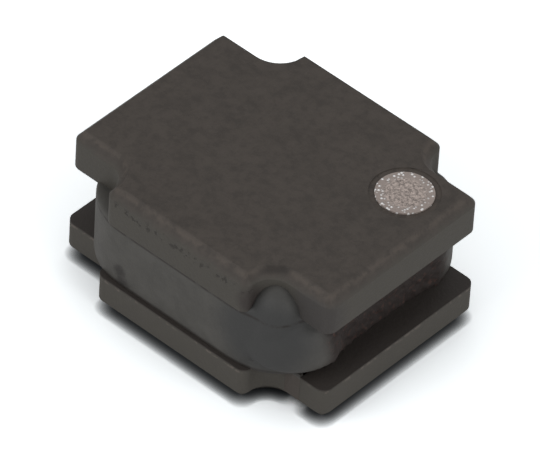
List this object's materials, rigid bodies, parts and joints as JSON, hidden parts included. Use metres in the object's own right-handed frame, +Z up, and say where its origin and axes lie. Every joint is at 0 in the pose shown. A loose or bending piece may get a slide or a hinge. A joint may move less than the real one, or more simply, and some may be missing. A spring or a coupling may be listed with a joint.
{
  "type": "shielded smd inductor",
  "caption": "Surface-mount power inductor: enamelled wire coil on a bevelled ferrite drum core, shielded by magnetic resin, with two solder terminals underneath.",
  "frame": {"origin": "middle of the footprint, on the board plane that both terminals stand on", "axes": "+X along the length, towards the end with the polarity dot; +Y across the width; +Z up, away from the board"},
  "size_m": [0.0024, 0.002, 0.0012],
  "materials": {
    "ferrite": "matte, fine grained, dark warm grey",
    "enamelled_copper": "copper under clear enamel",
    "magnetic_resin": "matte grey, metal powder in resin",
    "tin_plate": "satin tin plating",
    "solder": "bright solder",
    "silver_mark": "grainy silver print"
  },
  "bodies": {
    "root": {"core": "ferrite", "winding": "enamelled_copper", "resin_fill": "magnetic_resin", "terminal_left": "tin_plate", "terminal_right": "tin_plate", "solder_left": "solder", "solder_right": "solder", "polarity_dot": "silver_mark"}
  },
  "joints": []
}
